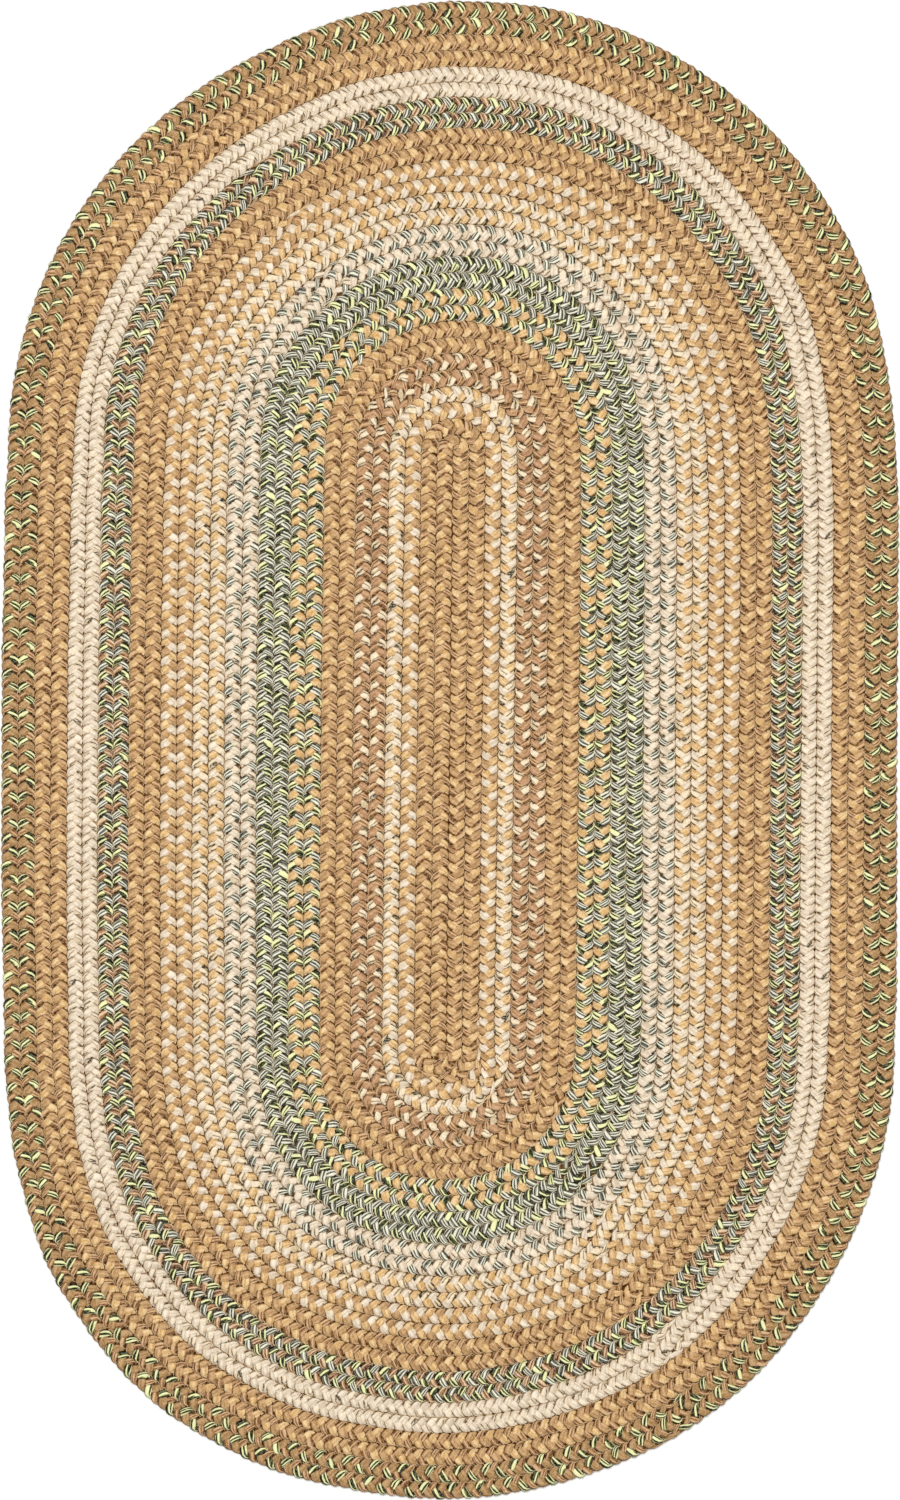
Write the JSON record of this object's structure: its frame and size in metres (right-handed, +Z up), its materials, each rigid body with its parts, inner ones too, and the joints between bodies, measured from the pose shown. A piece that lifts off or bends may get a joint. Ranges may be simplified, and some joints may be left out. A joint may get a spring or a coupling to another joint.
{
  "type": "braided rug",
  "caption": "Oval floor rug of flat three-strand braid laid round a straight core in bands and laced edge to edge, in tan, gold, cream, green and grey yarns",
  "frame": {"origin": "on the floor under the middle of the rug's bounding box", "axes": "+Y along the rug's length, +X across its width, +Z up out of its face"},
  "size_m": [0.9122, 1.5234, 0.009],
  "materials": {
    "braid": "matt spun yarn, braided and laced, in tan, gold, cream, brown, green and grey"
  },
  "bodies": {
    "root": {"braided_rug": "braid"}
  },
  "joints": []
}
